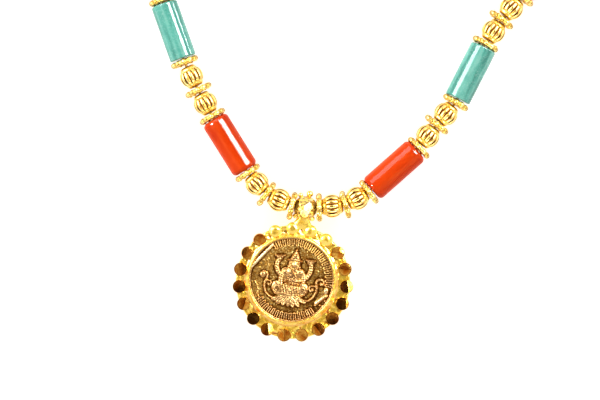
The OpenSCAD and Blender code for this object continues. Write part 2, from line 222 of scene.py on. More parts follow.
class Shell:
    """Points, quads and triangles in millimetres, turned outwards, with a shine value for each
    point: 1 on polished crests and 0 in hollows, which are darkened by tarnish and painted shade."""

    def __init__(self, points, quads=(), tris=(), shine=None):
        self.points = np.asarray(points, float).reshape(-1, 3)
        self.quads = np.asarray(quads, int).reshape(-1, 4)
        self.tris = np.asarray(tris, int).reshape(-1, 3)
        self.shine = np.ones(len(self.points)) if shine is None else np.asarray(shine, float).ravel()
        if self.volume() < 0:
            self.quads, self.tris = self.quads[:, ::-1], self.tris[:, ::-1]

    def volume(self):
        t = np.concatenate([self.quads[:, [0, 1, 2]], self.quads[:, [0, 2, 3]], self.tris])
        a, b, c = (self.points[t[:, k]] for k in range(3))
        return float(np.einsum("ij,ij->i", a, np.cross(b, c)).sum() / 6)

    def put(self, place):
        turn, shift = place
        return Shell(self.points @ turn.T + shift, self.quads, self.tris, self.shine)


def join(shells):
    starts = np.cumsum([0] + [len(s.points) for s in shells])
    parts = [(s.points, s.quads + start, s.tris + start, s.shine) for s, start in zip(shells, starts)]
    return Shell(*map(np.concatenate, zip(*parts)))


def grid_quads(rows, columns, wrap_rows=False, wrap_columns=False):
    r = np.arange(rows if wrap_rows else rows - 1)[:, None]
    c = np.arange(columns if wrap_columns else columns - 1)[None, :]
    r2, c2 = (r + 1) % rows, (c + 1) % columns
    corners = [r * columns + c, r2 * columns + c, r2 * columns + c2, r * columns + c2]
    return np.stack([q.ravel() for q in np.broadcast_arrays(*corners)], 1)


def ring_points(radius, turn, z):
    """Points on rings about Z."""
    return np.stack(np.broadcast_arrays(radius * np.cos(turn), radius * np.sin(turn), z), -1).reshape(-1, 3)


def mirrored(side, middle=()):
    """An outline of (along, ...) rows from its near half, its middle and the far half."""
    return [*side, *middle, *((-x, *rest) for x, *rest in reversed(side))]


def lathe(outline, sides):
    """Turns a closed outline about X into a ring with a bore. Its rows are (along, radius) or
    (along, radius, shine); a radius or shine may have its own value for each side."""
    x, r, *shine = (np.concatenate([np.broadcast_to(value, sides) for value in column])
                    for column in zip(*outline))
    turn = np.tile(circle(sides), len(outline))
    points = np.stack([x, r * np.cos(turn), r * np.sin(turn)], 1)
    return Shell(points, grid_quads(len(outline), sides, True, True), shine=shine[0] if shine else None)


def capped(points, around, tips, shine=None):
    """Rings of points, closed by a fan of triangles from a tip at either end."""
    count = len(points)
    here, last = np.arange(around), count - around
    after = (here + 1) % around
    fans = np.concatenate([np.stack([np.full(around, count), here, after], 1),
                           np.stack([np.full(around, count + 1), last + after, last + here], 1)])
    return Shell(np.concatenate([points, tips]), grid_quads(count // around, around, False, True),
                 fans, shine)


def globe(centre, radius, around, down):
    low = (np.pi * np.arange(1, down) / down)[:, None]
    ball = capped(ring_points(np.sin(low), circle(around), np.cos(low)), around, [[0, 0, 1], [0, 0, -1]])
    ball.points = ball.points * radius + centre
    return ball


def add_object(name, data):
    obj = bpy.data.objects.new(name, data)
    bpy.context.scene.collection.objects.link(obj)
    return obj


PIECES = []


def piece(name, shell, material, slot, *nodes, sharp=None):
    """Makes the object, rides it on the one body and lets it stand for its CAD nodes."""
    mesh = bpy.data.meshes.new(name)
    mesh.from_pydata(shell.points * MM, [], [*shell.quads.tolist(), *shell.tris.tolist()])
    mesh.validate()
    mesh.attributes.new("shine", "FLOAT", "POINT").data.foreach_set("value", shell.shine)
    mesh.shade_smooth()
    if sharp:
        mesh.set_sharp_from_angle(angle=math.radians(sharp))
    obj = add_object(name, mesh)
    mesh.materials.append(material)
    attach(obj, "root")
    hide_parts(*nodes)
    PIECES.append(obj)


# Materials

class Nodes:
    """The node tree of a material or world, with short calls for the nodes used below."""

    def __init__(self, owner, shader="Principled BSDF", place="Object"):
        owner.use_nodes = True
        self.owner = owner
        self.tree = owner.node_tree
        self.shader = self.tree.nodes[shader]
        self.place = self.node("TexCoord", {}, place)

    def fill(self, node, inputs):
        """Sets inputs, by name or number, to a constant or to another node's output."""
        for name, value in inputs.items():
            if isinstance(value, (int, float, tuple)):
                node.inputs[name].default_value = value
            else:
                self.tree.links.new(value, node.inputs[name])

    def node(self, kind, inputs, output, **settings):
        """One output of a new shader node."""
        node = self.tree.nodes.new("ShaderNode" + kind)
        for name, value in settings.items():
            setattr(node, name, value)
        self.fill(node, inputs)
        return node.outputs[output]

    def set(self, **inputs):
        self.fill(self.shader, {name.replace("_", " "): value for name, value in inputs.items()})

    def noise(self, scale, detail=3, rough=0.6, stretch=None, turn=None):
        place = self.place
        if stretch:
            place = self.node("Mapping", {"Scale": stretch, "Rotation": turn, "Vector": place}, "Vector")
        inputs = {"Scale": scale, "Detail": detail, "Roughness": rough, "Vector": place}
        return self.node("TexNoise", inputs, "Fac")

    def cells(self, scale):
        return self.node("TexVoronoi", {"Scale": scale, "Vector": self.place}, "Distance")

    def value(self, name):
        return self.node("Attribute", {}, "Fac", attribute_name=name)

    def ramp(self, value, *stops):
        """A colour ramp with stops of (place, colour)."""
        colours = self.node("ValToRGB", {"Fac": value}, "Color")
        elements = colours.node.color_ramp.elements
        while len(elements) < len(stops):
            elements.new(0.5)
        for element, (place, colour) in zip(elements, stops):
            element.position = place
            element.color = (*colour, 1)
        return colours

    def span(self, value, low, high, from_low=0, from_high=1):
        """Carries values from one span over to another, and holds them within it."""
        inputs = {"Value": value, "From Min": from_low, "From Max": from_high, "To Min": low, "To Max": high}
        return self.node("MapRange", inputs, "Result")

    def mix(self, factor, a, b):
        """Two colours, each three numbers or a node's output."""
        a, b = ((*colour, 1) if isinstance(colour, tuple) else colour for colour in (a, b))
        return self.node("Mix", {0: factor, 6: a, 7: b}, 2, data_type="RGBA")

    def math(self, kind, a, b):
        return self.node("Math", {0: a, 1: b}, 0, operation=kind)

    def bump(self, *layers):
        """Layers of (height, strength, distance in mm), one on the other."""
        normal = {}
        for height, strength, distance in layers:
            inputs = {"Strength": strength, "Distance": distance * MM, "Height": height, **normal}
            normal = {"Normal": self.node("Bump", inputs, "Normal")}
        self.fill(self.shader, normal)


def new_material(name):
    return Nodes(bpy.data.materials.new(name))


def gold_material(name, dents, specks=0, metallic=0.9):
    """Polished gold with tarnish and painted shade in its hollows, and dark specks where asked for."""
    m = new_material(name)
    fine, worn = m.noise(2600, 4, 0.65), m.value("shine")
    tone = m.ramp(m.noise(350), (0.3, (0.95, 0.57, 0.05)), (0.7, (0.98, 0.75, 0.21)))
    # Where the shine value is low, the colour goes to this dark brown: tarnish and painted shade.
    tarnish_and_shade = m.mix(m.math("MULTIPLY", fine, 0.25), (0.12, 0.025, 0.001), (0.4, 0.13, 0.008))
    colour = m.mix(worn, tarnish_and_shade, tone)
    if specks:
        spots = m.span(m.noise(1700), 0, specks, 0.49, 0.58)
        colour = m.mix(spots, colour, (0.16, 0.09, 0.015))
    m.set(Base_Color=colour, Metallic=metallic,
          Coat_Weight=m.span(worn, 0, 1, 0.6, 1), Coat_Roughness=0.1, Coat_IOR=1.8,
          Roughness=m.math("ADD", m.span(fine, 0.05, 0.13), m.span(worn, 0.16, 0)))
    m.bump((fine, 0.35, 0.01), (m.noise(1300, 2, 0.5), 0.8, dents), (m.cells(1500), 0.10, 0.01))
    return m.owner


def stud_material():
    """Bright filed faces with the file's marks, and a dark line of painted shade round them."""
    m = new_material("cut_gold")
    tone = m.ramp(m.noise(700), (0.38, (0.72, 0.24, 0.02)), (0.62, (1, 0.64, 0.14)))
    m.set(Base_Color=m.mix(m.value("shine"), (0.12, 0.03, 0.003), tone), Metallic=1,
          Roughness=m.span(m.noise(3000, 4, 0.65), 0.06, 0.18))
    m.bump((m.noise(1800, 3, 0.6, (1, 6, 1), (0, 0, 0.7)), 0.3, 0.015), (m.noise(1100), 0.7, 0.07))
    return m.owner


def plate_material():
    """Chased gold with reddish creases of painted shade under a clear shine."""
    m = new_material("chased_gold")
    fine = m.noise(3200, 4, 0.65)
    tone = m.ramp(m.noise(520), (0.3, (1, 0.56, 0.02)), (0.7, (1, 0.76, 0.11)))
    m.set(Base_Color=m.mix(m.value("shine"), (0.62, 0.16, 0.008), tone), Metallic=0.76,
          Coat_Weight=1, Coat_Roughness=0.12, Coat_IOR=1.9, Roughness=m.span(fine, 0.14, 0.28))
    m.bump((m.cells(900), 0.4, 0.08), (fine, 0.3, 0.012), (m.noise(700), 0.9, 0.2))
    return m.owner


def coin_material():
    """A brown field with bright specks, paler crests, painted shade in its hollows and grooves, and pale
    places along the chord and the lump.
    """
    m = new_material("struck_gold")
    grain, raised = m.noise(2400, 5, 0.7), m.value("shine")
    field = m.ramp(m.noise(200, 4, 0.6), (0.3, (0.33, 0.135, 0.016)), (0.7, (0.78, 0.42, 0.08)))
    speck = m.mix(m.span(grain, 0, 1, 0.5, 0.62), field, (1, 0.76, 0.26))
    crest = m.ramp(m.noise(700), (0.3, (0.5, 0.27, 0.085)), (0.7, (0.78, 0.48, 0.2)))
    shadow = m.mix(m.span(raised, 0, 1, 0, 0.3), (0.12, 0.04, 0.004), speck)
    relief = m.mix(m.span(raised, 0, 1, 0.35, 0.9), shadow, crest)
    m.set(Base_Color=m.mix(m.span(raised, 0, 1, 1, 1.8), relief, (1, 0.86, 0.5)), Metallic=1,
          Roughness=m.math("ADD", m.span(grain, 0.2, 0.32), m.span(raised, 0.06, 0, 0.3, 0.9)))
    m.bump((grain, 1, 0.05), (m.cells(2000), 0.7, 0.05), (m.noise(1100), 0.6, 0.08))
    return m.owner


def coral_material():
    """Glossy red coral with paler streaks."""
    m = new_material("glossy_coral")
    tone = m.ramp(m.noise(160, 3, 0.5), (0.3, (0.46, 0.027, 0.002)), (0.72, (0.56, 0.045, 0.004)))
    m.set(Base_Color=m.mix(m.span(m.value("shine"), 0, 0.5, 0.5, 0.9), tone, (0.62, 0.075, 0.01)),
          Roughness=m.span(m.noise(900), 0.04, 0.1), IOR=1.45, Specular_IOR_Level=0.1,
          Subsurface_Weight=0.1, Subsurface_Radius=(0.9, 0.2, 0.1), Subsurface_Scale=0.0008)
    m.bump((m.noise(420, 2, 0.5), 0.2, 0.05), (m.noise(1500), 0.1, 0.01))
    return m.owner


def turquoise_material():
    """Glossy turquoise with pale and dark streaks and pale specks."""
    m = new_material("glossy_turquoise")
    grain = m.value("shine")
    tone = m.ramp(m.noise(220, 4, 0.6), (0.3, (0.06, 0.275, 0.225)), (0.7, (0.105, 0.375, 0.31)))
    pale = m.mix(m.span(grain, 0, 0.5, 0.52, 0.8), tone, (0.23, 0.48, 0.41))
    dark = m.mix(m.span(grain, 0.65, 0, 0.22, 0.46), pale, (0.025, 0.15, 0.12))
    specks = m.span(m.noise(2600), 0, 0.35, 0.5, 0.75)
    m.set(Base_Color=m.mix(specks, dark, (0.36, 0.58, 0.51)),
          Roughness=m.span(m.noise(900), 0.03, 0.07), IOR=1.5, Specular_IOR_Level=0.35,
          Subsurface_Weight=0.15, Subsurface_Radius=(0.4, 0.8, 0.7), Subsurface_Scale=0.0008)
    m.bump((m.noise(380, 2, 0.5), 0.25, 0.05), (m.noise(1500), 0.1, 0.01))
    return m.owner


def thread_material():
    m = new_material("waxed_thread")
    fibre = m.noise(4000, 4, 0.6)
    m.set(Base_Color=m.ramp(fibre, (0.3, (0.5, 0.22, 0.03)), (0.7, (0.8, 0.46, 0.1))),
          Roughness=m.span(fibre, 0.55, 0.85), Sheen_Weight=0.3)
    m.bump((fibre, 0.6, 0.02))
    return m.owner


GOLD = gold_material("polished_gold", 0.02)
BALL_GOLD = gold_material("ball_gold", 0.2, 1, 0.66)
CUT_GOLD = stud_material()
PLATE_GOLD = plate_material()
COIN_GOLD = coin_material()
CORAL = coral_material()
TURQUOISE = turquoise_material()
THREAD = thread_material()


# Beads

def tube_bead(length, d, end_round, sides, seed):
    """A ground tube; its shine value holds the stone's streaks along the bead."""
    half, r, bore, lip = length / 2, d / 2, BORE_D / 2, 0.12
    straight, inside, unevenness = half - end_round, half - 1, 0.006
    side = [(-half + lip, bore), (-half, bore + lip)]
    side += arc_points((-straight, r - end_round), end_round, 180, 90, 8)
    side += [(x, r) for x in np.linspace(-straight, straight, 26)[1:13]]
    bead = lathe(mirrored(side) + [(x, bore) for x in np.linspace(inside, -inside, 5)], sides)
    x, y, z = bead.points.T
    turn, radius = np.arctan2(z, y), np.hypot(y, z)
    # Hand-ground tubes are never quite true: they are uneven by a few hundredths
    wave = (noise(x + 40 * seed, 2.2 * np.cos(turn) + 9 * seed, 3.1, 5)
            + noise(x - 17 * seed, 2.2 * np.sin(turn), 2.7, 6))
    bead.points[:, 1:] *= np.where(radius > r / 2, 1 - unevenness * wave, 1)[:, None]
    around = (turn + np.pi) * r
    drift = 0.5 * (noise(x, around, 3, 7) - 0.5)
    streak = noise(0.05 * x + 5 * seed, around + drift + 11 * seed, 0.6, 8)
    fleck = noise(0.3 * x + 3 * seed, around - 7 * seed, 0.5, 9)
    bead.shine = 0.75 * streak + 0.25 * fleck
    return bead


def fluted_bead(rows, per_rib, roll):
    """Rounded ribs that run from collar to collar over a ball, with a turned-in collar at each end."""
    half, bore, end_r, collar_r = FLUTED_LEN / 2, BORE_D / 2, COLLAR_END_D / 2, COLLAR_D / 2
    top_r, core_r = FLUTED_D / 2, FLUTED_D / 2 - FLUTE_DEPTH
    ribbed, shoulder, polish = half - COLLAR_LEN, 0.35, 0.85
    rib_share, widest_rib = 0.93, 0.96
    sides = RIBS * per_rib
    from_crest = np.abs((circle(sides) * RIBS / (2 * np.pi)) % 1 - 0.5)
    # A smooth round-shouldered band: distance from the bead's end, and radius
    band = [(0, end_r - 0.1), (0.05, end_r + 0.04), (0.16, end_r + 0.22), (0.34, collar_r - 0.17),
            (0.52, collar_r - 0.06)]
    # The bore's mouth gets low shine values: painted shade inside the bore.
    collar = [(-half + 0.1, bore, 0.2), (-half, bore + 0.1, 0.4)]
    collar += [(-half + inwards, radius, polish) for inwards, radius in band]
    ribs = []
    for x in np.linspace(-ribbed, ribbed, rows):
        top, core = math.sqrt(top_r ** 2 - x * x), math.sqrt(core_r ** 2 - x * x)
        smooth = min(collar_r - 0.03 + shoulder * (ribbed - abs(x)), top)
        pitch = 2 * math.pi * top / RIBS
        t = np.clip(2 * from_crest * pitch / min(rib_share * pitch, widest_rib), 0, 1)
        crown = (1 - t ** 2.1) ** 0.55
        fade = smoothstep(ribbed - 0.55, ribbed - 0.08, abs(x))
        radius = (core + (top - core) * crown) * (1 - fade) + smooth * fade
        # Grooves between the ribs get low shine values: tarnish and painted shade.
        ribs.append((x, radius, np.maximum(smoothstep(0.5, 0.92, crown), 0.75 * fade)))
    return lathe(mirrored(collar, ribs), sides).put((rot("X", roll), 0))


def granule_disc(around, down):
    """A ring of granules soldered on a flat core; the one it rests on keeps its full size."""
    ring_r, flat, bore = (DISC_D - GRANULE_D) / 2, CORE_T / 2, BORE_D / 2
    core = [(-flat + 0.1, bore), (-flat, bore + 0.1), (-flat, ring_r - 0.75)]
    core = mirrored(core, arc_points((0, ring_r + 0.02), 0.52, 180, 0, 8))
    # The core under and inside the ring of granules is darkened: painted shade between the granules.
    shells = [lathe([(x, y, 0.6 if y > ring_r - 0.2 else 0.3) for x, y in core], 2 * around)]
    for k in range(GRANULES):
        fullness, lean, shift = RNG.random(3) if k else (1, 0.5, 0.5)
        size = GRANULE_D / 2 * (0.93 + 0.07 * fullness)
        y, z = (DISC_D / 2 - size) * along(k * 360 / GRANULES + 4 * (shift - 0.5) - 90)
        ball = globe((0.12 * (lean - 0.5), y, z), size, around, down)
        x, y, z = ball.points.T
        ball.shine = 0.35 + 0.65 * smoothstep(0.3, 0.62, noise(y + 5 * k, x + z, 0.55, 71))
        shells.append(ball)
    return join(shells)


def clasp_shell():
    """A barrel with a grooved neck at each end and rings round its middle."""
    half, bore, neck, body = CLASP_LINK / 2 - CLASP_ROOM, BORE_D / 2, CLASP_NECK_D / 2, CLASP_D / 2
    # Distance from the clasp's end, and radius
    side = [(0.1, bore), (0, bore + 0.1), (0, neck - 0.15), (0.05, neck - 0.04), (0.15, neck),
            (0.75, neck), (0.85, neck - 0.08), (0.95, neck), (1.65, neck), (1.8, neck + 0.03),
            (2, neck + 0.132), (2.4, neck + 0.48), (2.6, body - 0.02)]
    side += [(x, body) for x in np.linspace(2.9, half - 0.75, 5)]
    side += [(half - 0.62, body - 0.1), (half - 0.5, body), (half - 0.1, body), (half - 0.05, body - 0.12)]
    outline = mirrored([(x - half, y) for x, y in side]) + [(0, bore)]
    # The grooves between the rings round the middle, and the bore, get a low shine value: tarnish and painted
    # shade.
    return lathe([(x, y, 0.3 if y < body - 0.05 and abs(x) < 1 else 1) for x, y in outline], 72)


def thread_shell():
    """Three twisted plies swept through the middles of the discs."""
    sides, steps, twists, plies = 12, 14, 200, 3
    t = np.tile(np.arange(steps) / steps, len(LOOP))[:, None]

    def blended(values):
        """Values that pass evenly from each point of the loop to the next one."""
        return np.repeat(values, steps, 0) * (1 - t) + np.repeat(np.roll(values, -1, 0), steps, 0) * t

    centres = blended(LOOP) - CENTRE
    ways = unit(blended(unit(LOOP - np.roll(LOOP, 1, 0)) + unit(np.roll(LOOP, -1, 0) - LOOP)))
    across = np.stack([-ways[:, 1], ways[:, 0]], 1)
    turn, twist = circle(sides), twists * circle(len(centres))[:, None]
    ply = THREAD_D / 2 * (0.86 + 0.14 * np.cos(plies * turn - twist))
    flat = centres[:, None] + across[:, None] * (ply * np.cos(turn))[..., None]
    points = np.concatenate([flat, (ply * np.sin(turn) + STRING_Z)[..., None]], -1)
    return Shell(points, grid_quads(len(centres), sides, True, True))


# The drawn tubes are this much longer than the solids, so that less floor shows beside the discs
TUBE_EXTRA = 0.22
STONES = {"coral": (CORAL_LEN, CORAL_D, CORAL_ROUND, CORAL),
          "turquoise": (TURQUOISE_LEN, TURQUOISE_D, TURQUOISE_ROUND, TURQUOISE)}
SIDES = (("left", LEFT, LEFT_SHOWN), ("right", RIGHT, RIGHT_SHOWN))
FINE_BEAD, PLAIN_BEAD, FINE_DISC, PLAIN_DISC = (31, 12), (17, 6), (24, 16), (12, 8)
FINE_TUBE, PLAIN_TUBE, FINE_LINKS = 96, 56, 6
MOST_ROLL = 25

tubes = 0
for side, points, _ in SIDES:
    for i in filter(is_tube, range(LINKS)):
        tubes += 1
        kind, number = tube_kind(i), i // 6 + 1
        length, diameter, end_round, stone = STONES[kind]
        sides = FINE_TUBE if i < FINE_LINKS else PLAIN_TUBE
        bead = tube_bead(length + TUBE_EXTRA, diameter, end_round, sides, tubes)
        piece(f"{side}_{kind}_{number}_tube_bead", bead.put(between(*points[i:i + 2])), stone, kind,
              f"{side}_{kind}_tube_{number}", sharp=60)

for side, points, shown in SIDES:
    beads = [i for i in range(shown - 1) if not is_tube(i)]
    for number, i in enumerate(beads, 1):
        bead = fluted_bead(*FINE_BEAD, MOST_ROLL * RNG.random()).put(between(*points[i:i + 2]))
        piece(f"{side}_fluted_{number}", bead, GOLD, "gold", f"{side}_fluted_bead_{number}")
    for k in range(shown):
        disc = granule_disc(*FINE_DISC).put(disc_at(points, k))
        piece(f"{side}_disc_{k + 1}", disc, GOLD, "gold", f"{side}_granule_disc_{k + 1}")

back_beads, back_discs = [], []
for _, points, shown in SIDES:
    for i in range(shown - 1, LINKS):
        if not is_tube(i):
            bead = fluted_bead(*PLAIN_BEAD, MOST_ROLL * RNG.random())
            back_beads.append(bead.put(between(*points[i:i + 2])))
    for k in range(shown, LINKS + 1):
        back_discs.append(granule_disc(*PLAIN_DISC).put(disc_at(points, k)))
piece("back_fluted", join(back_beads), GOLD, "gold", "back_fluted_beads")
piece("back_discs", join(back_discs), GOLD, "gold", "back_granule_discs")
piece("clasp_barrel", clasp_shell().put(between(LEFT[LINKS], RIGHT[LINKS])), GOLD, "gold", "clasp", sharp=50)
piece("thread_plies", thread_shell(), THREAD, "thread", "thread")


# Pendant and bail

def plate_shell():
    """The ring that carries the studs, with the coin's bezel; chased unevenly by hand."""
    around, round_edge, chasing = 456, 0.35, 0.36
    seat_r, edge = COIN_D / 2 + SEAT_GAP, PLATE_D / 2
    hole_r, wall_r = seat_r - LIP_W - SEAT_GAP / 2, seat_r + BEZEL_W
    # The bezel's lip, outwards from the hole and down from the bezel's height
    lip = [(0.05, LIP_T), (0, LIP_T - 0.06), (0, 0.2), (0.06, 0.07), (0.18, 0.01), (0.32, 0.03),
           (0.46, 0.14), (0.58, 0.3)]
    outline = [
        (hole_r, 0), (hole_r, SEAT_FLOOR), (seat_r, SEAT_FLOOR), (seat_r, BEZEL_H - LIP_T),
        *((hole_r + out, BEZEL_H - down) for out, down in lip),
        (wall_r, BEZEL_H - 0.46), (wall_r + 0.14, BEZEL_H - 0.56), (wall_r + 0.3, PLATE_T + 0.1),
        *((r, PLATE_T + 0.06 * max(0, 1 - (r - wall_r - 0.45) / 0.8))
          for r in np.linspace(wall_r + 0.45, edge - round_edge, 14)),
        *arc_points((edge - round_edge, PLATE_T - round_edge), round_edge, 75.68, 0, 5),
        (edge, 0.5), (edge, 0.18), (edge - 0.06, 0.05), (edge - 0.16, 0),
        *((r, 0) for r in np.linspace(edge - 0.6, hole_r + 0.3, 6))]
    r, z = (np.repeat(column, around) for column in np.array(outline).T)
    x, y, z = ring_points(r, np.tile(circle(around), len(outline)), z).T
    # The bezel sits off the plate's middle
    share = 1 - smoothstep(wall_r + 0.3, edge - 0.5, r)
    x, y = x + share * COIN_AT[0], y + share * COIN_AT[1]
    top = (z > PLATE_T - 0.2) & (r > wall_r - 0.2) & (r < edge - 0.02)
    lumps = noise(x, y, 1.1, 21) - 0.5 + 0.4 * (noise(x, y, 0.55, 22) - 0.5)
    z = z + np.where(top, chasing * lumps * smoothstep(wall_r - 0.2, wall_r + 0.4, r), 0)
    on_lip = (z > BEZEL_H - 0.3) & (r < wall_r + 0.02)
    z = z + np.where(on_lip, 0.05 * (noise(x, y, 1.3, 23) - 1), 0)
    # Low places between the lumps are darkened: painted shade in the creases.
    shine = np.where(top, smoothstep(-0.5, -0.1, lumps), 1)
    # The outer part of the lip is dimmed, so that a thin bright line stays at its inner edge: painted
    # highlight.
    shine = np.where((r > hole_r + 0.36) & (r < wall_r + 0.02), 0.5 + 0.5 * (lumps + 0.7), shine)
    # A band at the foot of the bezel wall, and the seat under the coin, are darkened: painted shade.
    shine = np.where((r > wall_r + 0.02) & (r < wall_r + 0.32), 0.45, np.clip(shine, 0, 1))
    shine = np.where(r < hole_r + 0.02, 0.3, shine)
    return Shell(np.stack([x, y, z], 1), grid_quads(len(outline), around, True, True), shine=shine)


# A face that leans this much towards the ball mirrors the dark hood straight above the camera
HOOD_LEAN = 5.3
# Strokes of the file on each stud, counter-clockwise from the top: how far its face leans from
# such a face, the heading of that lean, its height above the middle flat and the radius of its
# swell. A stud without strokes kept its dome.
STUD_STROKES = [
    [], [], [(15, 300, 0, 20)], [(11, 350, 0, 13)],
    [(9, 200, 0, 18)], [(5, 100, 0, 12)], [(7.5, 170, 0, 22), (17, 350, 0.1, 14)],
    [(2.5, 40, 0, 30)], [(6, 170, 0, 20), (24, 20, 0.16, 20)], [(17, 200, 0.02, 20), (11, 350, 0.05, 20)],
    [(15.5, 200, 0.06, 12), (14, 110, 0.04, 14)], [(5.5, 45, 0, 20), (13, 230, 0.03, 20)],
    [(6.5, 110, 0, 13)], [(3, 80, 0, 30), (25, 15, 0.4, 20)], [(5, 170, 0, 30), (23, 22, 0.16, 20)],
    [(7, 90, 0.03, 12), (12, 275, 0.03, 9)], [(12, 90, 0.05, 12), (17, 270, 0.03, 10)], [], []]


def stud_dome(seed):
    """A granule that kept its dome, pressed lower and dented."""
    ball = globe((0, 0, 0), STUD_D / 2, 40, 30)
    x, y, z = ball.points.T
    height = 0.66 + 0.2 * (noise(x + 7 * seed, y, 0.9, 51) - 0.5)
    ball.points[:, 2] = np.maximum(np.where(z > 0, z * height, z) + PLATE_T, 0)
    return ball


def stud_face(strokes, x, y):
    """Height of the filed face above the stud's widest place."""
    faces = []
    for lean, toward, lift, swell in strokes:
        slope_x, slope_y = np.radians(lean * along(toward) + [0, HOOD_LEAN])
        faces.append(STUD_FLAT + lift - slope_x * x - slope_y * y - (x * x + y * y) / (2 * swell))
    return np.minimum.reduce(faces)


def filed_stud(strokes):
    """A granule soldered on the plate and filed flat in one or two strokes."""
    r, around, rows, down = STUD_D / 2, 72, 16, 14
    turn = circle(around)
    low, high = np.zeros(around), np.full(around, r)
    for _ in range(30):
        # Halves the span in which the face meets the granule's side
        middle = (low + high) / 2
        face = stud_face(strokes, middle * np.cos(turn), middle * np.sin(turn))
        under = face < np.sqrt(r * r - middle ** 2)
        low, high = np.where(under, middle, low), np.where(under, high, middle)
    out = np.arange(1, rows + 1)[:, None] / rows
    x, y = low * out * np.cos(turn), low * out * np.sin(turn)
    face = np.stack([x, y, stud_face(strokes, x, y)], -1).reshape(-1, 3)
    rim = np.sqrt(r * r - low ** 2)
    z = rim - (PLATE_T + rim) * (np.arange(1, down + 1) / down)[:, None]
    side = ring_points(np.sqrt(np.clip(r * r - z * z, 0, None)), turn, z)
    # A dark line of painted shade is kept round each face
    painted_rim_shade = np.repeat(1 - 0.75 * smoothstep(0.84, 1, out), around)
    tips = [[0, 0, stud_face(strokes, 0, 0)], [0, 0, -PLATE_T]]
    shine = np.concatenate([painted_rim_shade, np.ones(len(side) + len(tips))])
    stud = capped(np.concatenate([face, side]), around, tips, shine)
    stud.points[:, 2] += PLATE_T
    return stud


def cut_flats(shell, flats):
    """Cuts flats into a closed shell; each flat is a point on it and its outward direction."""
    builder = bmesh.new()
    verts = [builder.verts.new(point) for point in shell.points]
    for face in [*shell.quads, *shell.tris]:
        builder.faces.new([verts[i] for i in face])
    for point, outwards in flats:
        geometry = builder.verts[:] + builder.edges[:] + builder.faces[:]
        cut = bmesh.ops.bisect_plane(builder, geom=geometry, plane_co=point, plane_no=outwards,
                                     clear_outer=True, dist=1e-5)
        edges = [e for e in cut["geom_cut"] if isinstance(e, bmesh.types.BMEdge) and e.is_boundary]
        bmesh.ops.holes_fill(builder, edges=edges, sides=0)
    bmesh.ops.triangulate(builder, faces=[f for f in builder.faces if len(f.verts) > 4])
    builder.verts.index_update()
    points = np.array([v.co for v in builder.verts])
    faces = [[v.index for v in f.verts] for f in builder.faces]
    builder.free()
    return Shell(points, [f for f in faces if len(f) == 4], [f for f in faces if len(f) == 3])


def cut_ball_shell():
    """The bail's ball with its bore, cut with flats that keep sharp arrises."""
    r, bore = BALL_D / 2, BORE_D / 2
    end = math.degrees(math.asin(bore / r))
    outline = arc_points((0, 0), r, 180 - end, end, 64)
    outline += [(x, bore) for x in np.linspace(r * 0.9, -r * 0.9, 6)]
    ball = lathe(outline, 96).put((rot("Z", BAIL_HEADING), 0))
    ways = [leaning(90 - lift, turn) for turn, lift in BALL_FLATS]
    ball = cut_flats(ball, [(way * (r - FLAT_DEPTH), way) for way in ways])
    # The ball hangs a little below its bore
    from_bore = np.hypot(ball.points[:, :2] @ along(BAIL_HEADING + 90), ball.points[:, 2])
    sag = BALL_SAG * smoothstep(bore, 2 * bore, from_bore)
    ball.points[:, :2] += sag[:, None] * along(PENDANT_HEADING)
    x, y, _ = ball.points.T
    ball.shine = 0.45 + 0.55 * smoothstep(0.25, 0.55, noise(x, y, 0.7, 61))
    return ball


def neck_shell():
    """Spreads from the ball into a flat foot that is soldered to the plate's edge."""
    sides, corner_power = 48, 0.72
    edge, end, r = PLATE_D / 2, DROP - BALL_SAG - BALL_D / 2 + 0.6, NECK_D / 2
    # Place along the pendant, half width, half height and height of the middle
    rows = [(edge - 0.7, 2.9, 0.85, 0.86), (edge - 0.35, 2.75, 0.92, 0.9), (edge, 2.5, 1, 0.92),
            (edge + 0.3, 2.28, 1.1, 0.92), (edge + 0.7, 1.98, 1.18, 0.9), (edge + 1.1, 1.72, 1.25, BALL_RISE),
            (edge + 1.5, 1.52, 1.32, BALL_RISE), (end - 0.4, r - 0.04, r - 0.02, BALL_RISE),
            (end, r, r, BALL_RISE)]
    # Round sections with corners that fill out: the power is below 1
    turn = circle(sides)
    wide, high = (np.sign(f) * np.abs(f) ** corner_power for f in (np.cos(turn), np.sin(turn)))
    points = np.array([[half_w * x, y, middle + half_h * z]
                       for y, half_w, half_h, middle in rows for x, z in zip(wide, high)])
    wave = noise(points[:, 0], points[:, 1], 0.9, 41) - 0.5
    points[:, 2] += np.where(points[:, 2] > BALL_RISE, 0.18 * wave, 0)
    return capped(points, sides, [[0, rows[0][0], rows[0][3]], [0, end, BALL_RISE]])


studs, domes = [], []
for k, strokes in enumerate(STUD_STROKES):
    place = (np.eye(3), [*(STUD_RING_D / 2 * along((k + 0.5) * 360 / STUDS + 90)), 0])
    (studs if strokes else domes).append((filed_stud(strokes) if strokes else stud_dome(k)).put(place))
solder = [globe((x, y, 0), d / 2, 32, 20).put(BALL_TURNED) for x, y, d in BALL_GRANULES]
for name, shell, material, sharp in (
        ("plate", plate_shell().put(PENDANT), PLATE_GOLD, 60),
        ("domes", join(domes).put(PENDANT), PLATE_GOLD, None),
        ("studs", join(studs).put(PENDANT), CUT_GOLD, 14),
        ("ball", cut_ball_shell().put(BALL), BALL_GOLD, 12),
        ("neck", neck_shell().put(PENDANT), PLATE_GOLD, 50),
        ("granules", join(solder), GOLD, 50)):
    piece(f"pendant_{name}", shell, material, "gold", "pendant_frame", sharp=sharp)


# Coin

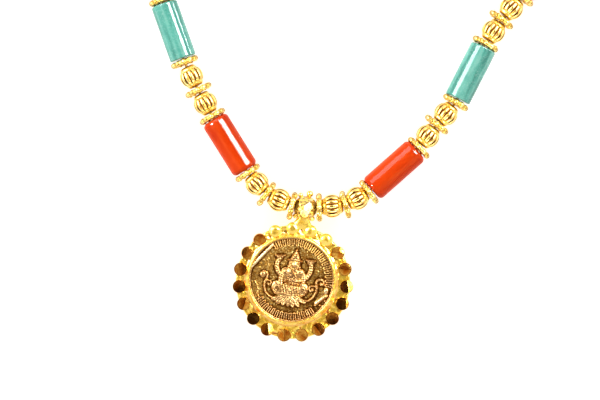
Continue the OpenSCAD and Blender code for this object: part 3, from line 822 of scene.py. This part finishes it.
class Relief:
    """Heights above the coin's field, raised feature by feature on a grid of points. A feature
    is given by its places, its width, and the height of its top."""

    def __init__(self, x, y):
        self.x, self.y = x, y
        self.h = np.zeros_like(x)
        self.cut = np.zeros_like(x)

    def raise_to(self, h):
        self.h = np.maximum(self.h, h)

    def turned(self, centre, turn):
        """The grid as seen from a centre: along a heading and across it."""
        (c, s), dx, dy = along(turn), self.x - centre[0], self.y - centre[1]
        return dx * c + dy * s, dy * c - dx * s

    def segment(self, a, b):
        """Distance from a line between two places, and the share of the way along it."""
        reach = math.dist(a, b)
        run, across = self.turned(a, heading(np.subtract(b, a)))
        t = np.clip(run / reach, 0, 1)
        return np.hypot(run - t * reach, across), t

    def distance(self, points):
        return np.minimum.reduce([self.segment(a, b)[0] for a, b in zip(points, points[1:])])

    def stroke(self, points, width, top, power=1.6):
        t = np.clip(2 * self.distance(points) / width, 0, 1)
        self.raise_to(top * (1 - t ** power) ** (1 / power))

    def banded(self, points, width, top, bands, depth=0.22):
        """A stroke with rings across it, such as an arm with bangles."""
        best, run, before = np.full_like(self.x, np.inf), np.zeros_like(self.x), 0
        for a, b in zip(points, points[1:]):
            d, t = self.segment(a, b)
            run = np.where(d < best, before + t * math.dist(a, b), run)
            best = np.minimum(d, best)
            before += math.dist(a, b)
        t = np.clip(2 * best / width, 0, 1)
        ripple = 1 - depth * (0.5 + 0.5 * np.cos(2 * np.pi * bands * run / before))
        self.raise_to(top * (1 - t ** 2.2) ** 0.45 * ripple)

    def oval(self, centre, half_x, half_y, top, turn=0):
        u, v = self.turned(centre, turn)
        t = np.clip(np.hypot(u / half_x, v / half_y), 0, 1)
        self.raise_to(top * np.sqrt(1 - t * t))

    def dome(self, centre, d, top):
        self.oval(centre, d / 2, d / 2, top)

    def leaf(self, base, tip, width, top):
        """A petal with a crease along its middle, from its base to its tip."""
        u, v = self.turned(base, heading(np.subtract(tip, base)))
        u = u / math.dist(base, tip)
        half = width / 2 * np.sqrt(np.sin(np.pi * np.clip(u, 0.001, 0.999) ** 1.6))
        t = np.clip(np.abs(v) / half, 0, 1)
        crease = 1 - 0.35 * np.exp(-(v / 0.12) ** 2)
        self.raise_to(np.where((u > 0) & (u < 1), top * (1 - t ** 2.5) ** 0.5 * crease, 0))

    def polygon(self, corners, edge, top):
        """An area with a rounded edge; its corners run counter-clockwise."""
        sides = zip(corners, corners[1:] + corners[:1])
        inwards = [self.turned(a, heading(np.subtract(b, a)))[1] for a, b in sides]
        t = np.clip(np.minimum.reduce(inwards) / edge, 0, 1)
        self.raise_to(top * np.sqrt(t * (2 - t)))

    def groove(self, points, width, depth):
        t = 2 * self.distance(points) / width
        self.cut = np.maximum(self.cut, depth * np.exp(-t * t))


def each(feature, *rows):
    """Raises one kind of feature for each row of its values."""
    for row in rows:
        feature(*row)


def raise_scrolls(coin):
    """The two tendrils that spring from the lotus and curl open at their ends."""
    each(coin.stroke,
         ([(-3.3, -4.75), (-4.35, -4.5), (-5.3, -3.75), (-5.8, -2.65), (-5.85, -1.5), (-5.55, -0.6),
           (-5.45, 0.15), (-5.75, 0.7), (-6.5, 0.9)], 0.5, 0.36),
         ([(-5.7, -1.35), (-5.25, -0.95), (-4.65, -1), (-4.35, -1.45), (-4.6, -1.95), (-5.05, -1.95)],
          0.38, 0.32),
         ([(3.4, -4.35), (4.55, -4.15), (5.4, -3.3), (5.9, -1.95), (5.9, -0.65), (5.6, 0.15),
           (5.85, 0.8), (6.6, 1.1), (7.3, 0.7), (7.25, 0), (6.75, -0.15)], 0.5, 0.36),
         ([(5.75, -0.7), (4.95, -0.7), (4.35, -0.95), (4.2, -1.5), (4.65, -1.95), (5.15, -1.7)], 0.42, 0.32))
    each(coin.dome, ((-6.55, 0.1), 1.4, 0.42), ((-5.1, -1.75), 0.5, 0.3), ((6.7, 0.15), 0.5, 0.3),
         ((5, -1.4), 0.5, 0.3))


def raise_lotus(coin):
    """A lower and an upper row of leaves, fanned from under the lap."""
    for tip, width in (((-3.7, -5.2), 1), ((-2.6, -5.8), 1.1), ((-1.2, -6.1), 1.1), ((0.15, -6.2), 1),
                       ((1.4, -6.2), 1.1), ((2.7, -5.75), 1.1), ((4, -4.7), 1)):
        coin.leaf((-0.1, -3.6), tip, width, 0.32)
    for tip in ((-2.5, -4.8), (-1.3, -5.3), (-0.2, -5.5), (0.95, -5.35), (2.1, -4.9), (3, -4.2)):
        coin.leaf((0, -3.3), tip, 0.9, 0.4)


def raise_legs(coin):
    """Folded legs: round knees, with drapery gathered across the lap."""
    each(coin.oval, ((-0.05, -2.6), 3.9, 1.75, 0.38, 4), ((-3, -2.2), 1.25, 1.5, 0.48, 10),
         ((2.85, -1.9), 1.2, 1.5, 0.48, -10))
    for r in (0.55, 1):
        coin.stroke(arc_points((-2.9, -2.3), r, 50, 260), 0.22, 0.52)
        coin.stroke(arc_points((2.75, -2), r, -80, 130), 0.22, 0.52)
    for fold in range(8):
        x = -2.1 + 0.62 * fold
        coin.stroke([(x - 0.25, -1.5), (x + 0.15, -2.4), (x + 0.55, -3.3)], 0.24, 0.5)
    coin.stroke([(-3.3, -3.6), (-1.4, -3.3), (0.3, -3.5), (2, -3.2), (3.4, -3)], 0.4, 0.46)
    coin.dome((0.05, -2.5), 0.9, 0.56)


def raise_arms(coin):
    """Raised arms with bangles and the pots of flowers that they hold, and the two lower arms."""
    each(coin.banded,
         ([(-2.3, 0.6), (-3.2, 1.2), (-3.75, 2.25), (-3.75, 3.4), (-3.4, 4.2)], 0.95, 0.42, 8),
         ([(2.5, 0.35), (3.3, 0.9), (3.85, 2), (4, 3.05), (3.75, 4.1)], 0.95, 0.42, 8),
         ([(-2.1, 1.2), (-2.45, 0), (-2.25, -1.5)], 1.05, 0.5, 5),
         ([(2.5, 1.4), (2.75, 0.2), (2.45, -1)], 1, 0.5, 5))
    for corners in ([(-4.4, 4.85), (-3.75, 3.9), (-2.9, 3.95), (-2.4, 5.15)],
                    [(2.6, 4.85), (3.2, 3.8), (4.05, 3.8), (4.6, 4.95)]):
        coin.polygon(corners, 0.45, 0.42)
        coin.stroke([corners[0], corners[3]], 0.36, 0.5)
        coin.dome(((corners[1][0] + corners[2][0]) / 2, corners[1][1] + 0.35), 0.8, 0.52)
    each(coin.dome, ((-2.2, -1.5), 0.8, 0.56), ((2.45, -1), 0.8, 0.56))


def raise_trunk(coin):
    """Chest and belly, with a cord across them and folds below."""
    each(coin.oval, ((0.1, 0.7), 2.3, 2.2, 0.44), ((0.5, -0.35), 2.3, 0.95, 0.54, 3))
    for centre, d, ring_r in (((-1.4, 1.45), 2.4, 0.78), ((1.65, 1.7), 2, 0.66)):
        coin.dome(centre, d, 0.6)
        coin.groove(arc_points(centre, ring_r, 0, 360, 24), 0.14, 0.09)
        coin.dome(centre, 0.55, 0.66)
    for k in range(5):
        coin.stroke([(-0.25 + 0.16 * k, 2.15 - 0.2 * k), (0.35 + 0.16 * k, 1.5 - 0.2 * k)], 0.15, 0.64)
    for y, half in ((0.3, 1.5), (-0.15, 1.9), (-0.6, 2.1), (-1, 2)):
        coin.stroke([(0.55 - half, y - 0.05), (0.5, y - 0.2), (0.55 + half, y + 0.1)], 0.26, 0.6)
    coin.groove([(-1.3, -0.42), (0.5, -0.55), (2.4, -0.3)], 0.16, 0.16)


def raise_head(coin):
    """Hair and earrings round a plain oval face, with the crown's band, tiers and finial."""
    each(coin.oval, ((0.1, 3.4), 1.2, 1.3, 0.4), ((0.1, 3.4), 0.62, 0.85, 0.62))
    each(coin.groove, ([(-0.12, 3.52), (-0.26, 3.52)], 0.12, 0.06),
         ([(0.32, 3.52), (0.46, 3.52)], 0.12, 0.06), ([(-0.02, 3.02), (0.22, 3.02)], 0.1, 0.05))
    each(coin.stroke, ([(0.1, 3.5), (0.1, 3.25)], 0.16, 0.68),
         ([(-1.4, 4.3), (0.1, 4.6), (1.65, 4.4)], 0.42, 0.6),
         ([(-0.95, 4.1), (-1, 3.4), (-0.75, 2.75), (0.1, 2.3), (0.95, 2.75), (1.2, 3.4), (1.15, 4.1)],
          0.48, 0.5))
    each(coin.dome, ((-1.1, 2.9), 0.6, 0.55), ((1.35, 2.95), 0.6, 0.55), ((0.12, 6.6), 0.55, 0.5))
    coin.polygon([(-1.15, 4.3), (1.45, 4.35), (0.9, 5.5), (0.15, 6.8), (-0.6, 5.4)], 0.6, 0.54)
    for y, half in ((4.95, 0.95), (5.4, 0.68), (5.85, 0.45)):
        coin.stroke([(0.12 - half, y), (0.12 + half, y + 0.03)], 0.24, 0.6)


def raise_border(coin, r, turn):
    """The ring of small arches, each closed towards the middle; wear has taken it off in two places."""
    pitch, line, half_arch, inner, outer = 360 / ARCHES, 0.125, 0.24, 7.65, 9.1
    arch = np.round(turn / pitch) * pitch
    across, out = np.radians(turn - arch) * r, r - inner
    legs = np.abs(np.abs(across) - half_arch)
    bow = np.abs(np.hypot(out - half_arch, across) - half_arch)
    away = np.where(out > half_arch, legs, bow)
    away = np.where(r > outer, np.hypot(legs, r - outer), away)
    arch = arch % 360
    worn = ((arch > 128) & (arch < 216)) | ((arch > 318) & (arch < 358))
    strength = np.where((arch > 10) & (arch < 128), 0.68, 1.15)
    t = np.clip(away / line, 0, 1)
    coin.raise_to(np.where(worn, 0, strength * RIM_H * np.sqrt(1 - t * t)))


CHORD = [(-9.45, 1.45), (-5.5, 7.15)]
LUMP = [(6.3, -4.4), (8.1, -1.3)]
# Past the chord, at this heading and distance from the coin's middle, the field is plain
CHORD_FACING, CHORD_OUT = 145.6, 8.75


def raise_wear(coin):
    """The chord that a tool left beside the rim, the lump on the other side, and what is left of
    the worn arches: a faint wavering line and three stubs."""
    each(coin.stroke, (CHORD, 0.9, 0.42, 1.3), ([(6.3, -4.4), (7.3, -3.4), (8.4, -2.4)], 0.75, 0.32),
         ([(-8.15, -1.6), (-7.55, -2.35), (-7.3, -3), (-6.9, -3.5), (-7.2, -4.1), (-7, -4.6), (-6.55, -5.05)],
          0.26, 0.16))
    coin.oval((8.1, -1.3), 0.5, 0.8, 0.3, 10)
    for spot in ((6.2, -4.9), (7.2, -4.75), (7.75, -4.8), (7.6, -5.35), (8.2, -3.6)):
        coin.dome(spot, 0.42, 0.18)
    for stub in (154, 161, 168):
        coin.dome(7.75 * along(stub), 0.4, 0.06)


def blurred(h, reach):
    """The mean over a square of grid points, taken twice."""
    for axis in (0, 1, 0, 1):
        h = sum(np.roll(h, k, axis) for k in range(-reach, reach + 1)) / (2 * reach + 1)
    return h


def coin_face(x, y):
    """Height and shine of the struck face at each point of a grid."""
    disc_r, edge_w = COIN_D / 2, 0.12
    r, turn = np.hypot(x, y), np.degrees(np.arctan2(y, x)) % 360
    coin = Relief(x, y)
    for raised in (raise_scrolls, raise_lotus, raise_legs, raise_arms, raise_trunk, raise_head, raise_wear):
        raised(coin)
    raise_border(coin, r, turn)
    rim = np.clip((r - (disc_r - 0.5)) / 0.2, 0, 1)
    coin.raise_to(RIM_H * np.sqrt(rim * (2 - rim)))
    grain = 0.6 * noise(x, y, 0.27, 31) + 0.4 * noise(x, y, 0.14, 32) - 0.5
    slow = noise(x, y, 1.4, 33) - 0.5
    beyond = coin.turned((0, 0), CHORD_FACING)[0] > CHORD_OUT
    height = coin.h - coin.cut * (coin.h > 0.2)
    height = height + np.where(beyond, 0.15, 1) * 0.09 * grain + 0.05 * slow
    height = height - 0.06 * (1 - np.clip((disc_r - r) / edge_w, 0, 1))
    hollow_shade = np.clip(blurred(height, 5) - height, 0, 1)
    # The field is brighter towards the ball and darker low down and on the right
    shade = 0.13 * smoothstep(-4, 8, 0.45 * x - 0.9 * y) + 0.25 * slow
    shine = 0.33 - shade + (0.67 + shade) * smoothstep(0.05, 0.2, coin.h)
    shine = np.where(beyond & (coin.h < 0.05), 0.5, shine)
    # Grooves and the low places beside the relief are darkened: painted shade.
    shine = np.clip(shine - 3 * coin.cut - 6 * hollow_shade, 0, 1)
    # The chord and the lump are made pale and bright
    chord, lump = coin.distance(CHORD), coin.distance(LUMP)
    bright = np.maximum(smoothstep(0.45, 0.2, chord), 0.6 * smoothstep(0.6, 0.2, lump))
    return height, shine + 0.8 * bright


def coin_shell():
    """The struck face, on a square grid that is drawn out to a round one, over a plain drum."""
    n, back_shine = 292, 0.3
    u, v = np.meshgrid(np.linspace(-1, 1, n), np.linspace(-1, 1, n), indexing="xy")
    x, y = COIN_D / 2 * u * np.sqrt(1 - v * v / 2), COIN_D / 2 * v * np.sqrt(1 - u * u / 2)
    height, shine = coin_face(x, y)
    top = np.stack([x, y, COIN_Z + COIN_T + height], -1).reshape(-1, 3)
    grid = np.arange(n * n).reshape(n, n)
    border = np.concatenate([grid[0], grid[1:, -1], grid[-1, -2::-1], grid[-2:0:-1, 0]])
    count = len(border)
    low = n * n + np.arange(count)
    ring = top[border] * [1, 1, 0] + [0, 0, COIN_Z]
    points = np.concatenate([top, ring, ring * [0.5, 0.5, 1], [[0, 0, COIN_Z]]])
    quads = [np.stack([a, np.roll(a, -1), np.roll(b, -1), b], 1)
             for a, b in ((border, low), (low, low + count))]
    fan = np.stack([low, np.roll(low, -1), np.full(count, len(points) - 1 - count)], 1) + count
    glow = [*shine.ravel(), *np.full(2 * count + 1, back_shine)]
    return Shell(points, np.concatenate([grid_quads(n, n), *quads]), fan, glow)


piece("coin_relief", coin_shell().put((np.eye(3), COIN_AT)).put(PENDANT), COIN_GOLD, "coin_gold", "coin",
      sharp=75)


# Floor, light and camera

def floor():
    mesh = bpy.data.meshes.new("floor")
    builder = bmesh.new()
    bmesh.ops.create_grid(builder, x_segments=8, y_segments=8, size=1.5)
    builder.to_mesh(mesh)
    builder.free()
    m = new_material("white_sweep")
    fibre = m.noise(900, 4, 0.6)
    m.set(Base_Color=m.ramp(fibre, (0.2, (0.86, 0.86, 0.855)), (0.8, (0.9, 0.9, 0.895))),
          Roughness=0.9, Specular_IOR_Level=0.2, Emission_Color=(1, 1, 1, 1), Emission_Strength=0.7)
    m.bump((fibre, 0.1, 0.02))
    mesh.materials.append(m.owner)
    add_object("floor", mesh)


# The tent's colours by how far up a place in it lies, from the horizon at 0 to straight up at 1
TENT = [(0, (0.92, 0.92, 0.92)), (0.66, (0.95, 0.95, 0.93)), (0.76, (0.85, 0.8, 0.72)),
        (0.86, (0.6, 0.46, 0.3)), (0.92, (0.38, 0.22, 0.09)), (0.953, (0.21, 0.09, 0.025)),
        (0.975, (0.09, 0.037, 0.013)), (0.99, (0.035, 0.018, 0.009)), (1, (0.022, 0.013, 0.008))]
SOFTBOX_AIM = np.array([-0.02, -0.05, 0.003])
# Groups of softboxes: name, words in the names of the pieces that they light, whether they show as
# a glint alone, as soft light alone or as both, and their distance in metres; then each light's
# name, heading, angle from straight up, width and height in metres, and radiance
SOFTBOXES = [
    ("pendant_metal", ("plate", "studs", "domes", "neck", "coin"), "both", 0.9,
     [("key_softbox", 32, 45, 0.66, 0.6, 12), ("side_softbox", 155, 58, 0.6, 0.7, 7)]),
    ("bead_metal", ("fluted", "disc", "clasp", "thread", "ball", "granules"), "both", 0.9,
     [("bead_key", 32, 45, 0.9, 0.85, 7), ("bead_side", 165, 55, 0.9, 0.85, 6.3),
      ("bead_front", 280, 62, 0.8, 0.3, 6)]),
    ("ball_alone", ("ball",), "glint", 0.9, [("ball_glint", 0, 32, 0.3, 0.3, 2.5)]),
    ("stone", ("tube_bead",), "soft", 0.9,
     [("stone_key", 32, 45, 0.66, 0.6, 5), ("stone_side", 155, 58, 0.6, 0.7, 8)]),
    ("coral_tubes", ("coral",), "glint", 0.88,
     [("key_glint", 32, 45, 0.64, 0.58, 170), ("coral_side", 120, 50, 0.5, 0.6, 17),
      ("end_glint", 183, 46, 0.26, 0.26, 400)]),
    ("turquoise_tubes", ("turquoise",), "glint", 0.88,
     [("narrow_glint", 32, 41, 0.64, 0.32, 50), ("rim_glint", 30, 84, 0.7, 0.1, 45),
      ("side_glint", 150, 48, 0.6, 0.56, 22)])]


def world():
    """A bright tent with a dark hood round the camera straight above."""
    tent = Nodes(bpy.data.worlds.new("light_tent"), "Background", "Generated")
    bpy.context.scene.world = tent.owner
    height = tent.node("SeparateXYZ", {0: tent.place}, "Z")
    tent.set(Color=tent.ramp(height, *TENT), Strength=0.95)


def softbox(name, turn, zenith, width, height, radiance):
    """A rectangular light that faces the pendant's side of the string."""
    light = bpy.data.lights.new(name, "AREA")
    light.shape = "RECTANGLE"
    light.size, light.size_y = width, height
    light.energy = radiance * math.pi * width * height
    obj = add_object(name, light)
    obj.rotation_euler = (math.radians(zenith), 0, math.radians(turn + 90))
    return obj


floor()
world()
for group, words, shows, distance, lights in SOFTBOXES:
    lit = bpy.data.collections.new(group)
    for obj in PIECES:
        if any(word in obj.name for word in words):
            lit.objects.link(obj)
    for name, turn, zenith, *rest in lights:
        obj = softbox(name, turn, zenith, *rest)
        obj.location = SOFTBOX_AIM + distance * leaning(zenith, turn)
        obj.visible_diffuse = shows != "glint"
        obj.visible_glossy = shows != "soft"
        obj.light_linking.receiver_collection = lit

# The camera looks straight down; its place is measured from the middle of the bail
VIEW_WIDTH, CAMERA_RISE, FILM_WIDTH = 135, 520, 36
CAMERA_FROM_BAIL = np.array([-1.24, 1.51])
camera_data = bpy.data.cameras.new("camera")
camera = add_object("camera", camera_data)
camera_data.sensor_width = FILM_WIDTH
camera_data.lens = FILM_WIDTH * CAMERA_RISE / VIEW_WIDTH
camera_data.clip_start = 0.01
camera.location = [*((CAMERA_FROM_BAIL - CENTRE) * MM), (CAMERA_RISE + STRING_Z) * MM]
bpy.context.scene.camera = camera
bpy.context.scene.view_settings.view_transform = "Standard"
